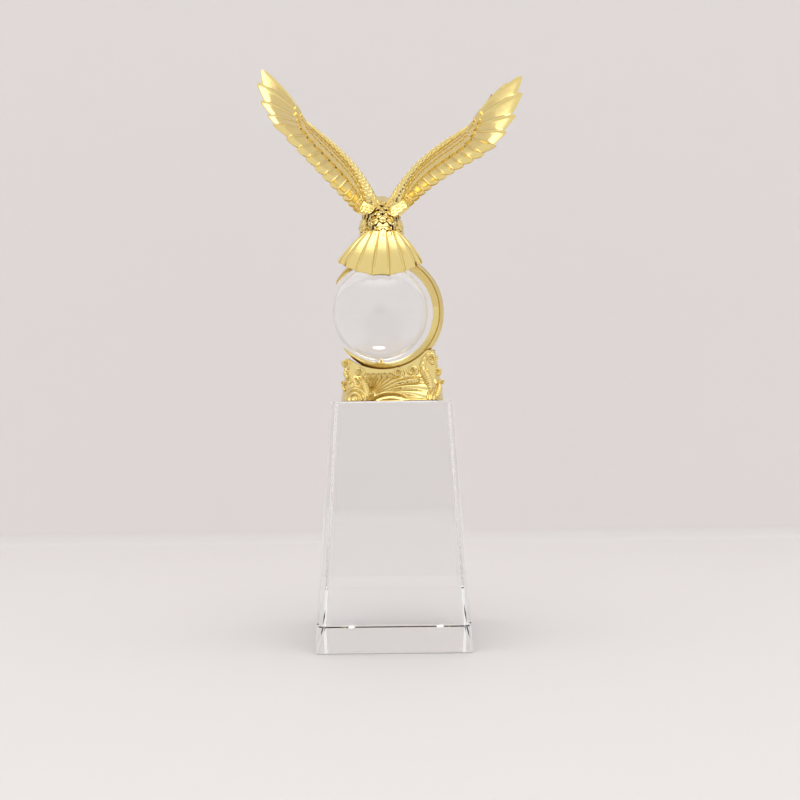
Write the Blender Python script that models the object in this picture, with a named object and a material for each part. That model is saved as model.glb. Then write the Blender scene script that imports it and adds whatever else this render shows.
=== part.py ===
"""Eagle trophy: a plated eagle lands on a crescent that carries a clear ball, on a tapered crystal block.

Metres, +Z up, origin at the middle of the block's underside. The eagle flies towards +Y, and -Y is its tail
side. The casting of the crescent has its waves on both broad sides.
"""
import math

import bmesh
import bpy
from mathutils import Matrix, Vector

MM = 0.001

# Driving sizes of the crystal block
BLOCK_HEIGHT = 120 * MM
BLOCK_FOOT_WIDTH = 75 * MM
BLOCK_TOP_WIDTH = 60 * MM
BLOCK_CHAMFER = 0.8 * MM

# Driving sizes of the ball and of the crescent round it
BALL_DIAMETER = 50 * MM
BALL_CLEARANCE = 1.3 * MM
BALL_SHIFT_X = -1.2 * MM
CRESCENT_X = -4.5 * MM
BAND_WIDTH = 5.7 * MM
BAND_DEPTH = 9.0 * MM
PIN_RADIUS = 1.3 * MM
PIN_ROOT_DEPTH = 1.0 * MM
HORN_LENGTH = 9.0 * MM
HORN_FLARE = 1.1 * MM

# Driving sizes of the wave foot below the crescent
FOOT_WIDTH = 54.0 * MM
FOOT_DEPTH = 36.0 * MM
FOOT_HEIGHT = 15.5 * MM
CURL_RADIUS = 0.95 * MM
SEAT_DEPTH = 2.2 * MM
SEAT_WALL = 0.9 * MM

# Driving sizes of the eagle
EAGLE_HEIGHT = 84.0 * MM
EAGLE_YAW = math.radians(4.0)
LEFT_WING_TURN = (math.radians(-8.0), math.radians(2.7), math.radians(-4.7))
RIGHT_WING_TURN = (math.radians(4.0), math.radians(3.8), math.radians(-2.3))
SECONDARIES = 8
TAIL_FEATHERS = 7

# Room between pieces that touch, and the largest crumb of metal that may break off a weld
GAP = 0.3 * MM
CRUMB = 1.0 * MM ** 3

# Places worked out from the driving sizes
BALL_RADIUS = BALL_DIAMETER / 2
RING_INNER = BALL_RADIUS + BALL_CLEARANCE
RING_OUTER = RING_INNER + BAND_WIDTH
FOOT_Z = BLOCK_HEIGHT + GAP
RING_Z = FOOT_Z + FOOT_HEIGHT + RING_OUTER - GAP
RING_CENTRE = Vector((CRESCENT_X, 0, RING_Z))
BALL_CENTRE = RING_CENTRE + Vector((BALL_SHIFT_X, 0, 0))
EAGLE_UNIT = EAGLE_HEIGHT / 84.0
PERCH_RISE = 15.2
EAGLE_PLACE = RING_CENTRE + Vector((0, 0, RING_OUTER + GAP + PERCH_RISE * EAGLE_UNIT))


def clear_scene():
    for obj in list(bpy.data.objects):
        bpy.data.objects.remove(obj, do_unlink=True)


def material(name, colour, metallic, roughness, transmission=0.0):
    made = bpy.data.materials.new(name)
    made.use_nodes = True
    shader = made.node_tree.nodes["Principled BSDF"]
    shader.inputs["Base Color"].default_value = (*colour, 1.0)
    shader.inputs["Metallic"].default_value = metallic
    shader.inputs["Roughness"].default_value = roughness
    shader.inputs["Transmission Weight"].default_value = transmission
    return made


def mesh_object(name, bm):
    bmesh.ops.recalc_face_normals(bm, faces=bm.faces[:])
    bmesh.ops.triangulate(bm, faces=bm.faces[:])
    mesh = bpy.data.meshes.new(name)
    bm.to_mesh(mesh)
    bm.free()
    obj = bpy.data.objects.new(name, mesh)
    bpy.context.scene.collection.objects.link(obj)
    return obj


def bezier(points, t):
    """Point at t on the Bezier curve of any number of control points."""
    level = [Vector(p) for p in points]
    while len(level) > 1:
        level = [a.lerp(b, t) for a, b in zip(level, level[1:])]
    return level[0]


def along(values, t):
    """Value at t between evenly spaced values."""
    place = min(max(t, 0.0), 1.0) * (len(values) - 1)
    index = min(int(place), len(values) - 2)
    return values[index] + (values[index + 1] - values[index]) * (place - index)


def loft(bm, rings):
    """Closed skin over rings of equally many points, with flat ends."""
    verts = [bm.verts.new(p) for p in rings[0]]
    first = bm.faces.new(verts)
    edges = list(first.edges)
    for ring in rings[1:]:
        made = bmesh.ops.extrude_edge_only(bm, edges=edges)["geom"]
        edges = [item for item in made if isinstance(item, bmesh.types.BMEdge)]
        new = [item for item in made if isinstance(item, bmesh.types.BMVert)]
        partner = {}
        for vert in new:
            for edge in vert.link_edges:
                other = edge.other_vert(vert)
                if other in verts:
                    partner[other] = vert
        verts = [partner[v] for v in verts]
        for vert, point in zip(verts, ring):
            vert.co = point
        edges = [e for e in edges if e.verts[0] in new and e.verts[1] in new]
    bm.faces.new(reversed(verts))


def tube(bm, centres, radii, sides=6, flatten=1.0, up=Vector((0, 1, 0))):
    """Round bar along a row of centres, each with its own radius; flatten squeezes it along up."""
    rings = []
    for k, centre in enumerate(centres):
        ahead = centres[min(k + 1, len(centres) - 1)] - centres[max(k - 1, 0)]
        across = up.cross(ahead).normalized()
        lift = ahead.cross(across).normalized()
        ring = []
        for i in range(sides):
            angle = 2 * math.pi * (i + 0.5) / sides
            ring.append(centre + radii[k] * (across * math.cos(angle) + flatten * lift * math.sin(angle)))
        rings.append(ring)
    loft(bm, rings)


def sheet(bm, columns, rows, top, under):
    """Closed plate over a grid; top and under give the place of grid point (column, row)."""
    made = bmesh.ops.create_grid(bm, x_segments=columns, y_segments=rows, size=1.0)
    outer = made["verts"]
    faces = list({face for vert in outer for face in vert.link_faces})
    back = bmesh.ops.extrude_face_region(bm, geom=faces, use_keep_orig=True)["geom"]
    inner = [item for item in back if isinstance(item, bmesh.types.BMVert)]
    for verts, place in ((outer, top), (inner, under)):
        for vert in verts:
            column = round((vert.co.x + 1) / 2 * columns)
            row = round((vert.co.y + 1) / 2 * rows)
            vert.co = place(column, row)


def weld(base, parts):
    """Joins closed pieces, which overlap the base, to it as one closed skin."""
    for part in parts:
        tool = mesh_object("weld", part)
        join = base.modifiers.new("weld", "BOOLEAN")
        join.operation = "UNION"
        join.solver = "MANIFOLD"
        join.object = tool
        graph = bpy.context.evaluated_depsgraph_get()
        welded = bpy.data.meshes.new_from_object(base.evaluated_get(graph))
        base.modifiers.clear()
        base.data = welded
        bpy.data.objects.remove(tool, do_unlink=True)
    fill_pockets(base.data)
    return base


def shells(bm):
    """The separate closed shells of a mesh, each a list of faces."""
    left = set(bm.faces)
    while left:
        shell = [left.pop()]
        for face in shell:
            near = {other for edge in face.edges for other in edge.link_faces if other in left}
            left -= near
            shell.extend(near)
        yield shell


def fill_pockets(mesh):
    """Casts solid any pocket that the welded pieces close off between them, and drops loose crumbs."""
    bm = bmesh.new()
    bm.from_mesh(mesh)
    bmesh.ops.triangulate(bm, faces=bm.faces[:])
    for shell in list(shells(bm)):
        volume = sum(f.verts[0].co.dot(f.verts[1].co.cross(f.verts[2].co)) for f in shell) / 6
        if volume < CRUMB:
            bmesh.ops.delete(bm, geom=shell, context="FACES")
    bm.to_mesh(mesh)
    bm.free()


def new_piece(make, *sizes, **options):
    """A closed piece of its own, made by one of the functions above."""
    bm = bmesh.new()
    make(bm, *sizes, **options)
    return bm


def make_block():
    bm = bmesh.new()
    bmesh.ops.create_cube(bm, size=1.0)
    for vert in bm.verts:
        wide = BLOCK_TOP_WIDTH if vert.co.z > 0 else BLOCK_FOOT_WIDTH
        vert.co = Vector((vert.co.x * wide, vert.co.y * wide, (vert.co.z + 0.5) * BLOCK_HEIGHT))
    bmesh.ops.bevel(bm, geom=bm.edges[:], offset=BLOCK_CHAMFER, affect="EDGES", segments=1,
                    profile=0.5, material=-1)
    return mesh_object("crystal_base", bm)


BALL_SEGMENTS = 28
BALL_RINGS = 16


def make_ball():
    bm = bmesh.new()
    bmesh.ops.create_uvsphere(bm, u_segments=BALL_SEGMENTS, v_segments=BALL_RINGS, radius=BALL_RADIUS)
    bmesh.ops.translate(bm, verts=bm.verts[:], vec=BALL_CENTRE)
    obj = mesh_object("crystal_ball", bm)
    obj.data.shade_smooth()
    return obj


# The crescent opens towards -X. Its angles run from the lower horn's tip round to the upper horn's root.
LOWER_TIP_ANGLE = -138
UPPER_ROOT_ANGLE = 130
BAND_STEPS = 36
SLENDER = {"upper": 0.42, "lower": 0.12}


def band_share(turn):
    """Thickness of the band as a share of the full band, along the crescent from 0 to 1."""
    return along([SLENDER["lower"], 0.66, 0.9, 1.0, 1.0, 1.0, 1.0, 0.95, 0.86, 0.7, SLENDER["upper"]], turn)


def horn_flare(turn):
    """How far the band swings outward towards its two horns."""
    return HORN_FLARE * (max(0.0, 1 - turn / 0.12) ** 2 + max(0.0, (turn - 0.86) / 0.14) ** 2)


def band_section(centre, outward, share):
    """Six corners: inner ridge, a narrow crest land on each broad side, and the outer ridge."""
    forward = Vector((0, 1, 0))
    inner, crest, land, outer = (0.0, 0.50 * share, 0.18 * share, share)
    depth = BAND_DEPTH / 2 * min(1.0, share * 1.15)
    corners = [(inner, 0), (crest, -1), (crest + land, -1), (outer, 0), (crest + land, 1), (crest, 1)]
    return [centre + outward * r * BAND_WIDTH + forward * d * depth for r, d in corners]


def make_band(bm):
    rings = []
    for k in range(BAND_STEPS + 1):
        turn = k / BAND_STEPS
        angle = math.radians(LOWER_TIP_ANGLE + (UPPER_ROOT_ANGLE - LOWER_TIP_ANGLE) * turn)
        outward = Vector((math.cos(angle), 0, math.sin(angle)))
        centre = RING_CENTRE + outward * (RING_INNER + horn_flare(turn))
        rings.append(band_section(centre, outward, band_share(turn)))
    ahead = Vector((-math.sin(angle), 0, math.cos(angle)))
    for share in (0.5, 1.0):
        slim = SLENDER["upper"] * (1 - 0.75 * share)
        rings.append(band_section(centre + ahead * HORN_LENGTH * share, outward, slim))
    loft(bm, rings)


def pin_line(side):
    """Small cone between the band and the ball, below it (side -1) or above it (side 1)."""
    reach = math.sqrt(max(RING_INNER ** 2 - BALL_SHIFT_X ** 2, 0.0))
    root = Vector((BALL_CENTRE.x, 0, RING_CENTRE.z + side * (reach + PIN_ROOT_DEPTH)))
    tip = BALL_CENTRE + Vector((0, 0, side * (BALL_RADIUS + GAP)))
    return [root, root.lerp(tip, 0.4), tip], [PIN_RADIUS, PIN_RADIUS, PIN_RADIUS * 0.15]


def foot_top(x):
    """Height of the foot at x: it hollows to seat the band, and rises beside it."""
    seat = RING_OUTER - SEAT_DEPTH
    away = min(abs(x - RING_CENTRE.x), 0.75 * seat)
    return RING_Z - (seat ** 2 - away ** 2) ** 0.5 - FOOT_Z


def foot_half_depth(v):
    """Half-depth at share v of the height: the broad faces draw in as they climb to the band."""
    seat = BAND_DEPTH / 2 + SEAT_WALL
    return seat + (FOOT_DEPTH / 2 - seat) * (1 - min(v, 1.0)) ** 1.6


def foot_half_width(v):
    return FOOT_WIDTH / 2 * (1 - 0.16 * min(max(v, 0.0), 1.0))


def end_rounding(share):
    """How the foot's plan closes towards its ends, for a share of the half-width."""
    return max(0.0, 1 - abs(share) ** 5) ** 0.5


def foot_spot(x, z, lift=0.0, side=-1):
    """Place on a broad face; x is a share of the half-width and z of the height at the middle."""
    across = x * FOOT_WIDTH / 2
    v = z * FOOT_HEIGHT / foot_top(across)
    share = min(abs(across) / foot_half_width(v), 0.97)
    deep = foot_half_depth(v) * end_rounding(share) + lift
    return Vector((across, side * deep, FOOT_Z + z * FOOT_HEIGHT))


def bump(distance, radius):
    """Height from 0 to 1 of a round-topped rib at a distance from its middle line."""
    return max(0.0, 1 - (distance / radius) ** 2) ** 0.5


def distance_to_line(x, z, a, b):
    """Distance of (x, z) from the line from a to b, and how far along that line it is."""
    dx, dz = b[0] - a[0], b[1] - a[1]
    t = min(max(((x - a[0]) * dx + (z - a[1]) * dz) / (dx * dx + dz * dz), 0.0), 1.0)
    return math.hypot(x - a[0] - t * dx, z - a[1] - t * dz), t


# Relief of the broad faces. Places are x in half-widths and z in heights of the foot at its middle.
FAN_FROM = (-0.40, 0.16)
FAN_RIBS = 7
BEADS = 5
BEAD_ROW = (-0.46, -0.04, 0.88)
COILS = ((-0.50, 0.74, -0.51, 0.20, 0.075), (0.62, 0.98, 0.66, 0.36, 0.115))
NESTS = ((-0.70, 0.06, 0.27), (0.85, 0.12, 0.22))


def relief(x, z):
    """How far the broad face stands out at x and z, in curl radii."""
    flat = FOOT_HEIGHT / (FOOT_WIDTH / 2)
    rise, run = (z - FAN_FROM[1]) * flat, x - FAN_FROM[0]
    reach = math.hypot(rise, run)
    angle = math.atan2(rise, run) + 0.3 * reach
    height = 0.0
    if 0.04 < reach < 1.0 and 0.2 < angle < 1.6 and z < 0.82:
        height = 0.9 * abs(math.sin(angle * FAN_RIBS)) * min(1.0, reach * 4)
    for x0, z0, x1, z1, wide in COILS:
        off, t = distance_to_line(x, z * flat, (x0, z0 * flat), (x1, z1 * flat))
        height = max(height, (1.5 + 0.4 * math.cos(t * 10 * math.pi)) * bump(off, wide))
    for x0, z0, size in NESTS:
        off = math.hypot(x - x0, (z - z0) * flat)
        if off < size:
            height = max(height, 1.2 * abs(math.sin(off / size * 2.5 * math.pi)) + 0.3)
    for k in range(BEADS):
        spot = BEAD_ROW[0] + (BEAD_ROW[1] - BEAD_ROW[0]) * k / (BEADS - 1)
        height = max(height, 1.3 * bump(math.hypot(x - spot, (z - BEAD_ROW[2]) * flat), 0.055))
    return height


FOOT_COLUMNS = 46
FOOT_LEVELS = {-1: 12, 1: 5}
FOOT_END = 0.985


def make_foot_core(bm):
    """Mound from the flat underside up to the band, with the sea carved on both broad faces."""
    rings = []
    for k in range(FOOT_COLUMNS + 1):
        share = FOOT_END * (2 * k / FOOT_COLUMNS - 1)
        section = []
        for side in (-1, 1):
            face = []
            levels = FOOT_LEVELS[side]
            for j in range(levels + 1):
                v = j / levels
                x = share * foot_half_width(v)
                z = v * foot_top(x)
                carved = relief(x / (FOOT_WIDTH / 2), z / FOOT_HEIGHT) if 0 < j < levels else 0.0
                deep = (foot_half_depth(v) + CURL_RADIUS * carved) * end_rounding(share)
                face.append(Vector((x, side * deep, FOOT_Z + z)))
            section += face if side < 0 else face[::-1]
        rings.append(section)
    loft(bm, rings)


def spiral(centre, radius, start, turns, inward=0.25, steps=8):
    """Points of a curl that winds inward in the broad face's plane; start is an angle in degrees."""
    points = []
    for k in range(steps + 1):
        share = k / steps
        angle = math.radians(start) + turns * 2 * math.pi * share
        reach = radius * (1 - (1 - inward) * share)
        points.append(centre + Vector((math.cos(angle) * reach, 0, math.sin(angle) * reach)))
    return points


# Curls on a broad face: centre x and z, radius, start angle, turns, thickness, and the foot of the stem.
# Places are shares of the foot's half-width and height; radii are shares of its height.
CURLS = [
    (-0.90, 1.30, 0.15, -60, 1.1, 1.2, (-0.84, 0.80)),
    (-0.88, 0.98, 0.12, -60, 1.0, 1.3, (-0.78, 0.62)),
    (-0.63, 1.00, 0.16, -50, 1.0, 1.3, (-0.54, 0.60)),
    (0.11, 0.95, 0.17, -30, 1.0, 1.3, (0.30, 0.66)),
    (0.38, 1.00, 0.18, -40, 1.0, 1.4, (0.54, 0.66)),
    (0.76, 1.40, 0.19, 150, -1.1, 1.7, (0.62, 0.85)),
    (0.88, 0.98, 0.13, 150, -1.0, 1.3, (0.84, 0.55)),
]


def curls(side):
    """Wave crests of one broad face: each a stem that runs up and ends in an inward winding curl."""
    for x, z, radius, start, turns, thick, stem in CURLS if side < 0 else CURLS[::3]:
        root = foot_spot(stem[0], stem[1], -0.3 * CURL_RADIUS, side)
        centre = foot_spot(x, z, -0.2 * CURL_RADIUS, side)
        points = [root] + spiral(centre, radius * FOOT_HEIGHT, start, turns)
        radii = [CURL_RADIUS * thick * (1.15 - 0.5 * k / len(points)) for k in range(len(points))]
        yield new_piece(tube, points, radii, sides=5, up=Vector((0, -side, 0)))


def make_crescent_stand():
    base = mesh_object("crescent_stand", new_piece(make_foot_core))
    parts = [new_piece(make_band)]
    parts += [new_piece(tube, *pin_line(side), sides=8) for side in (-1, 1)]
    parts += list(curls(-1)) + list(curls(1))
    return weld(base, parts)


# The eagle is laid out in millimetres of an eagle 84 mm high, with its right wing towards +X
WING_ARM = [(7, 2, 12), (17, 4, 38), (33, -3, 41), (48, -11, 55)]
SECONDARY_TIPS = [(13.4, -3, 7.5), (47.7, -32, 31)]
PRIMARY_TIPS = [(53.3, -36.3, 34.9), (57.4, -34.1, 42.0), (61.8, -31.9, 50.8), (64.9, -28.3, 63.0),
                (64.3, -24.2, 72.5), (58.7, -18.8, 70.3), (51.5, -12.3, 64.6)]
PRIMARIES = len(PRIMARY_TIPS)
WING_SHIFT = Vector((0.9, 0, 0))
SCAPULAR = [(2.5, 3, 11), (6.0, -6.5, 1.5)]
SHOULDER = Vector(WING_ARM[0])
SPINE = [
    # place of the section's middle (y, z), half-width, half-height
    (-10.0, -6.5, 5.2, 2.6), (-6.0, -3.0, 6.2, 4.2), (-1.0, 0.5, 7.4, 6.0), (4.5, 3.6, 9.6, 8.0),
    (10.0, 6.5, 10.4, 9.0), (14.5, 10.0, 8.6, 7.6), (18.0, 12.8, 6.4, 6.0), (22.0, 14.6, 5.6, 5.6),
    (26.0, 15.2, 5.2, 5.2), (29.5, 14.6, 4.0, 4.0), (32.0, 13.6, 2.2, 2.2),
]
HEAD_TURN = 4.5


def wing_place(turn, side):
    """Takes a point of the right wing to its own wing: mirrored on the left, and turned at the shoulder."""
    flip = Matrix.Diagonal((side, 1, 1))
    rx, ry, rz = turn
    spin = Matrix.Rotation(rz, 3, "Z") @ Matrix.Rotation(ry, 3, "Y") @ Matrix.Rotation(rx, 3, "X")
    shoulder = flip @ SHOULDER

    def place(point):
        return (WING_SHIFT + shoulder + spin @ (flip @ Vector(point) - shoulder)) * EAGLE_UNIT
    return place


def wing_back(root, tip):
    """Outward direction of the wing's back for a feather from root to tip, on the right wing."""
    arm = Vector(WING_ARM[3]) - Vector(WING_ARM[0])
    return (tip - root).cross(arm).normalized()


def flight_feathers():
    """Roots and tips of a wing's flight feathers, and how deep the notch beyond each reaches."""
    count = SECONDARIES + PRIMARIES
    for k in range(count):
        if k < SECONDARIES:
            share = k / (SECONDARIES - 1)
            tip = bezier(SECONDARY_TIPS, share)
            root = bezier(WING_ARM, 0.04 + 0.72 * share)
            notch = 0.92
        else:
            share = (k - SECONDARIES) / (PRIMARIES - 1)
            tip = Vector(PRIMARY_TIPS[k - SECONDARIES])
            root = bezier(WING_ARM, 0.80 + 0.18 * share)
            notch = 0.88 - 0.16 * share
        yield root, tip, notch


# Rows down a wing's back: share of the feather's length, lift off the flight feathers, and how far the row's
# edge swings out with each feather. The steps down are the ends of two rows of coverts.
WING_ROWS = [(0.0, 1.2, 0.0), (0.16, 2.0, 0.0), (0.30, 2.1, 0.035), (0.33, 1.1, 0.035), (0.50, 1.2, 0.04),
             (0.53, 0.2, 0.04), (0.78, 0.1, 0.0), (1.0, 0.0, 0.0)]
WING_THICKNESS = 1.1
QUILL_RIDGE = 0.55


def wing_columns():
    """Lines across the wing: a full-length one on each quill and a short one in the notch between two."""
    feathers = list(flight_feathers())
    first, last = feathers[0], feathers[-1]
    columns = [(Vector(SCAPULAR[0]), Vector(SCAPULAR[1]), 0), (first[0], first[0].lerp(first[1], 0.9), 0)]
    for k, (root, tip, notch) in enumerate(feathers):
        columns.append((root, tip, 1))
        if k + 1 < len(feathers):
            after = feathers[k + 1]
            between = root.lerp(after[0], 0.5)
            columns.append((between, between.lerp(tip.lerp(after[1], 0.5), notch), 0))
    columns.append((last[0], last[0].lerp(last[1], 0.6), 0))
    return columns


def make_wing(bm, turn, side):
    """Wing plate with its quills, notched tips and two rows of coverts."""
    place = wing_place(turn, side)
    columns = wing_columns()

    def spot(column, row, thick):
        root, tip, quill = columns[column]
        share, lift, swing = WING_ROWS[row]
        out = wing_back(root, tip)
        arch = 0.24 * (tip - root).length * share * (1 - share)
        share += swing * (1 if quill else -1)
        rise = 0.0 if thick else lift + (QUILL_RIDGE if quill else -0.15) * min(1.0, 2.2 * (1.25 - share))
        thin = WING_THICKNESS * (1.0 - 0.35 * share)
        return place(root.lerp(tip, share) + out * (arch + rise - thin * thick))

    sheet(bm, len(columns) - 1, len(WING_ROWS) - 1,
          lambda c, r: spot(c, r, 0), lambda c, r: spot(c, r, 1))


def make_arm(bm, turn, side):
    """Fleshy leading edge of a wing, from the shoulder to the hand."""
    place = wing_place(turn, side)
    centres = [place((3, 4, 6))] + [place(bezier(WING_ARM, t / 8)) for t in range(9)]
    radii = [EAGLE_UNIT * r for r in (4.8, 4.0, 3.2, 2.7, 2.5, 2.4, 2.3, 2.2, 1.9, 1.2)]
    tube(bm, centres, radii, sides=8, flatten=0.85)


def body_section(s):
    """Middle and half-sizes of the body at s from tail root 0 to brow 1, in the eagle's millimetres."""
    y, z, wide, high = (along([station[i] for station in SPINE], s) for i in range(4))
    lean = HEAD_TURN * max(0.0, (s - 0.5) / 0.5) ** 1.2
    return Vector((lean, y, z)), wide, high


def body_frame(s):
    middle, wide, high = body_section(s)
    ahead = (body_section(min(s + 0.05, 1.0))[0] - body_section(max(s - 0.05, 0.0))[0]).normalized()
    across = ahead.cross(Vector((0, 0, 1))).normalized()
    back = across.cross(ahead).normalized()
    return middle, wide, high, ahead, across, back


BODY_RINGS = 22
BODY_SIDES = 16
SCALE_RISE = 0.7


def make_body(bm):
    """Body and head, with scale feathers raised in staggered rows."""
    rings = []
    for k in range(BODY_RINGS + 1):
        s = k / BODY_RINGS
        middle, wide, high, ahead, across, back = body_frame(s)
        ring = []
        for i in range(BODY_SIDES):
            angle = 2 * math.pi * i / BODY_SIDES
            rise = SCALE_RISE * ((i + k // 2) % 2) * (1 - k % 2) * min(1.0, 4 * (1 - s))
            side, lift = math.cos(angle) * (wide + rise), math.sin(angle) * (high + rise)
            ring.append((middle + across * side + back * lift) * EAGLE_UNIT)
        rings.append(ring)
    loft(bm, rings)


# Rows down the tail: share of its length, and how far the skin stands out
TAIL_ROWS = (0.0, 0.22, 0.44, 0.64, 0.82, 0.95, 1.0)
TAIL_THICKNESS = 1.2
TAIL_RIDGE = 0.55


def make_tail(bm):
    """Fan of feathers that droops over the ball like a shell, with a raised line between each two."""
    steps = 2 * TAIL_FEATHERS

    def spot(column, row, thick):
        u = math.sin(0.5 * math.pi * (2 * column / steps - 1) * 0.92) / math.sin(0.46 * math.pi)
        s = TAIL_ROWS[row]
        root = Vector((5.4 * u, -7.0 + 0.8 * abs(u), -4.8 - 1.0 * u * u))
        tip = Vector((20.4 * u - 0.7, -22 + 8 * u * u, -31.6 + 7.8 * u * u))
        out = Vector((0.75 * u, -0.75, 0.45)).normalized()
        line = column % 2 == 0
        if s == 1.0 and line:
            s = 1.03
        bend = root.lerp(tip, 0.52) + out * 5.2
        rise = TAIL_RIDGE * s if line and not thick else 0.0
        return (bezier([root, bend, tip], s) + out * (rise - TAIL_THICKNESS * thick)) * EAGLE_UNIT

    sheet(bm, steps, len(TAIL_ROWS) - 1, lambda c, r: spot(c, r, 0), lambda c, r: spot(c, r, 1))


def legs():
    """Feathered thighs with shanks, and toes that grip the top of the crescent."""
    for side in (-1, 1):
        hip, knee = Vector((side * 6.2, 7.5, 2)), Vector((side * 7.2, 7.5, -4))
        ankle, heel = Vector((side * 5.6, 3.2, -10)), Vector((side * 5.2, 1.0, -12.6))
        line = [p * EAGLE_UNIT for p in (hip, knee, ankle, heel)]
        yield new_piece(tube, line, [r * EAGLE_UNIT for r in (5.0, 4.6, 2.4, 1.7)], sides=8)
        for fan, reach in ((-24, 7.2), (0, 8.0), (24, 7.2), (180, 6.4)):
            way = Matrix.Rotation(math.radians(fan), 3, "Z") @ Vector((0, 1, 0))
            knuckle = heel + way * reach * 0.6 + Vector((0, 0, 0.8))
            claw = heel + way * reach - Vector((0, 0, 2.6))
            centres = [bezier([heel, knuckle, claw], t / 3) * EAGLE_UNIT for t in range(4)]
            radii = [r * EAGLE_UNIT for r in (1.4, 1.3, 1.1, 0.35)]
            yield new_piece(tube, centres, radii, sides=5, up=Vector((0, 0, 1)).cross(way))


def make_beak(bm):
    """Hooked beak on the brow, with its tip bent down."""
    brow = body_section(1.0)[0]
    steps = ((0, -2.2, 0.3), (0, 0.8, 0.4), (0, 3.0, -0.1), (0, 4.4, -1.6), (0, 4.6, -3.4))
    line = [(brow + Vector(step)) * EAGLE_UNIT for step in steps]
    radii = [r * EAGLE_UNIT for r in (2.4, 2.1, 1.6, 1.0, 0.25)]
    tube(bm, line, radii, sides=8, flatten=1.2, up=Vector((1, 0, 0)))


def make_eagle():
    base = mesh_object("eagle", new_piece(make_body))
    parts = [new_piece(make_tail), new_piece(make_beak)] + list(legs())
    for turn, side in ((LEFT_WING_TURN, -1), (RIGHT_WING_TURN, 1)):
        parts += [new_piece(make_arm, turn, side), new_piece(make_wing, turn, side)]
    eagle = weld(base, parts)
    eagle.location = EAGLE_PLACE
    eagle.rotation_euler = (0, 0, EAGLE_YAW)
    return eagle


def main():
    clear_scene()
    crystal = material("optical crystal", (0.93, 0.95, 0.96), 0.0, 0.0, transmission=1.0)
    plating = material("gold plating on cast zinc", (0.90, 0.66, 0.22), 1.0, 0.18)
    finishes = {make_block: crystal, make_ball: crystal, make_crescent_stand: plating, make_eagle: plating}
    for make, finish in finishes.items():
        piece = make()
        piece.data.materials.clear()
        piece.data.materials.append(finish)


main()
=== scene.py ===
"""Looks of the eagle trophy: plated castings and optical crystal, on a plain pale floor under soft light.

Metres, +Z up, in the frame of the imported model. The photograph looks along +Y at the eagle's back.
"""
import math

import bmesh
import bpy
from mathutils import Matrix, Vector


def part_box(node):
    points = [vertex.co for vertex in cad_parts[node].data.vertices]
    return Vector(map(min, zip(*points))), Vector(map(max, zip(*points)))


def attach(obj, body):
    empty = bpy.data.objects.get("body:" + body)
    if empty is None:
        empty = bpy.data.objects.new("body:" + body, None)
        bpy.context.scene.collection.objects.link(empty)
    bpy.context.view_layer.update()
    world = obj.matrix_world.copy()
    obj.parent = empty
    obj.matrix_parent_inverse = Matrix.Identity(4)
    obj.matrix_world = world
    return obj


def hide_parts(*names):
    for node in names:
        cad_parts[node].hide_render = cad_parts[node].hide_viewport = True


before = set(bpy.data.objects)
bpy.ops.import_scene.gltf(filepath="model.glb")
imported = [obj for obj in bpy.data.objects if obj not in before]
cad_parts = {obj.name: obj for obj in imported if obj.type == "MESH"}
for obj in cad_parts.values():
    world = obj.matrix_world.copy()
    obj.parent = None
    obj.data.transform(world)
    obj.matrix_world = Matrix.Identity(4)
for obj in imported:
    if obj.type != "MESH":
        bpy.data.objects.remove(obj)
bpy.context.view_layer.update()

MM = 0.001
PI = math.pi

# Sizes of the construction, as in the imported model
BAND_WIDTH = 5.7 * MM
BAND_DEPTH = 9.0 * MM
BALL_CLEARANCE = 1.3 * MM
CRESCENT_X = -4.5 * MM
BALL_SHIFT_X = -1.2 * MM
HORN_LENGTH = 1.5 * MM
HORN_FLARE = 1.1 * MM
PIN_RADIUS = 1.3 * MM
PIN_ROOT_DEPTH = 1.0 * MM
FOOT_WIDTH = 54.0 * MM
FOOT_DEPTH = 36.0 * MM
FOOT_HEIGHT = 15.5 * MM
CURL_RADIUS = 0.95 * MM
SEAT_DEPTH = 2.2 * MM
SEAT_WALL = 0.9 * MM
GAP = 0.3 * MM
EAGLE_UNIT = 1.0 * MM
EAGLE_YAW = math.radians(4.0)
EAGLE_SPIN = Matrix.Rotation(EAGLE_YAW, 3, "Z")
LEFT_WING_TURN = (math.radians(-8.0), math.radians(2.7), math.radians(-4.7))
RIGHT_WING_TURN = (math.radians(4.0), math.radians(3.8), math.radians(-2.3))

# Places read from the frame
ball_low, ball_high = (Vector(corner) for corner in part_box("crystal_ball"))
BALL_CENTRE = (ball_low + ball_high) / 2
BALL_RADIUS = (ball_high.z - ball_low.z) / 2
RING_INNER = BALL_RADIUS + BALL_CLEARANCE
RING_OUTER = RING_INNER + BAND_WIDTH
FOOT_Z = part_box("crescent_stand")[0][2]
RING_CENTRE = Vector((CRESCENT_X, 0, FOOT_Z + FOOT_HEIGHT + RING_OUTER - GAP))
EAGLE_PLACE = RING_CENTRE + Vector((0, 0, RING_OUTER + GAP + 15.2 * EAGLE_UNIT))


# Materials

def linear(code):
    """Linear colour of an sRGB hex value."""
    parts = [int(code[i:i + 2], 16) / 255 for i in (1, 3, 5)]
    return (*[c / 12.92 if c <= 0.04045 else ((c + 0.055) / 1.055) ** 2.4 for c in parts], 1.0)


def add_node(tree, kind, settings=(), inputs=()):
    """Adds a node, sets its properties, and fills or links its inputs."""
    node = tree.nodes.new(kind)
    for name, value in dict(settings).items():
        setattr(node, name, value)
    for name, value in dict(inputs).items():
        socket = node.inputs[name]
        if isinstance(value, bpy.types.NodeSocket):
            tree.links.new(value, socket)
        else:
            socket.default_value = value
    return node


def new_material(name):
    made = bpy.data.materials.new(name)
    made.use_nodes = True
    return made, made.node_tree, made.node_tree.nodes["Principled BSDF"]


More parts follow.
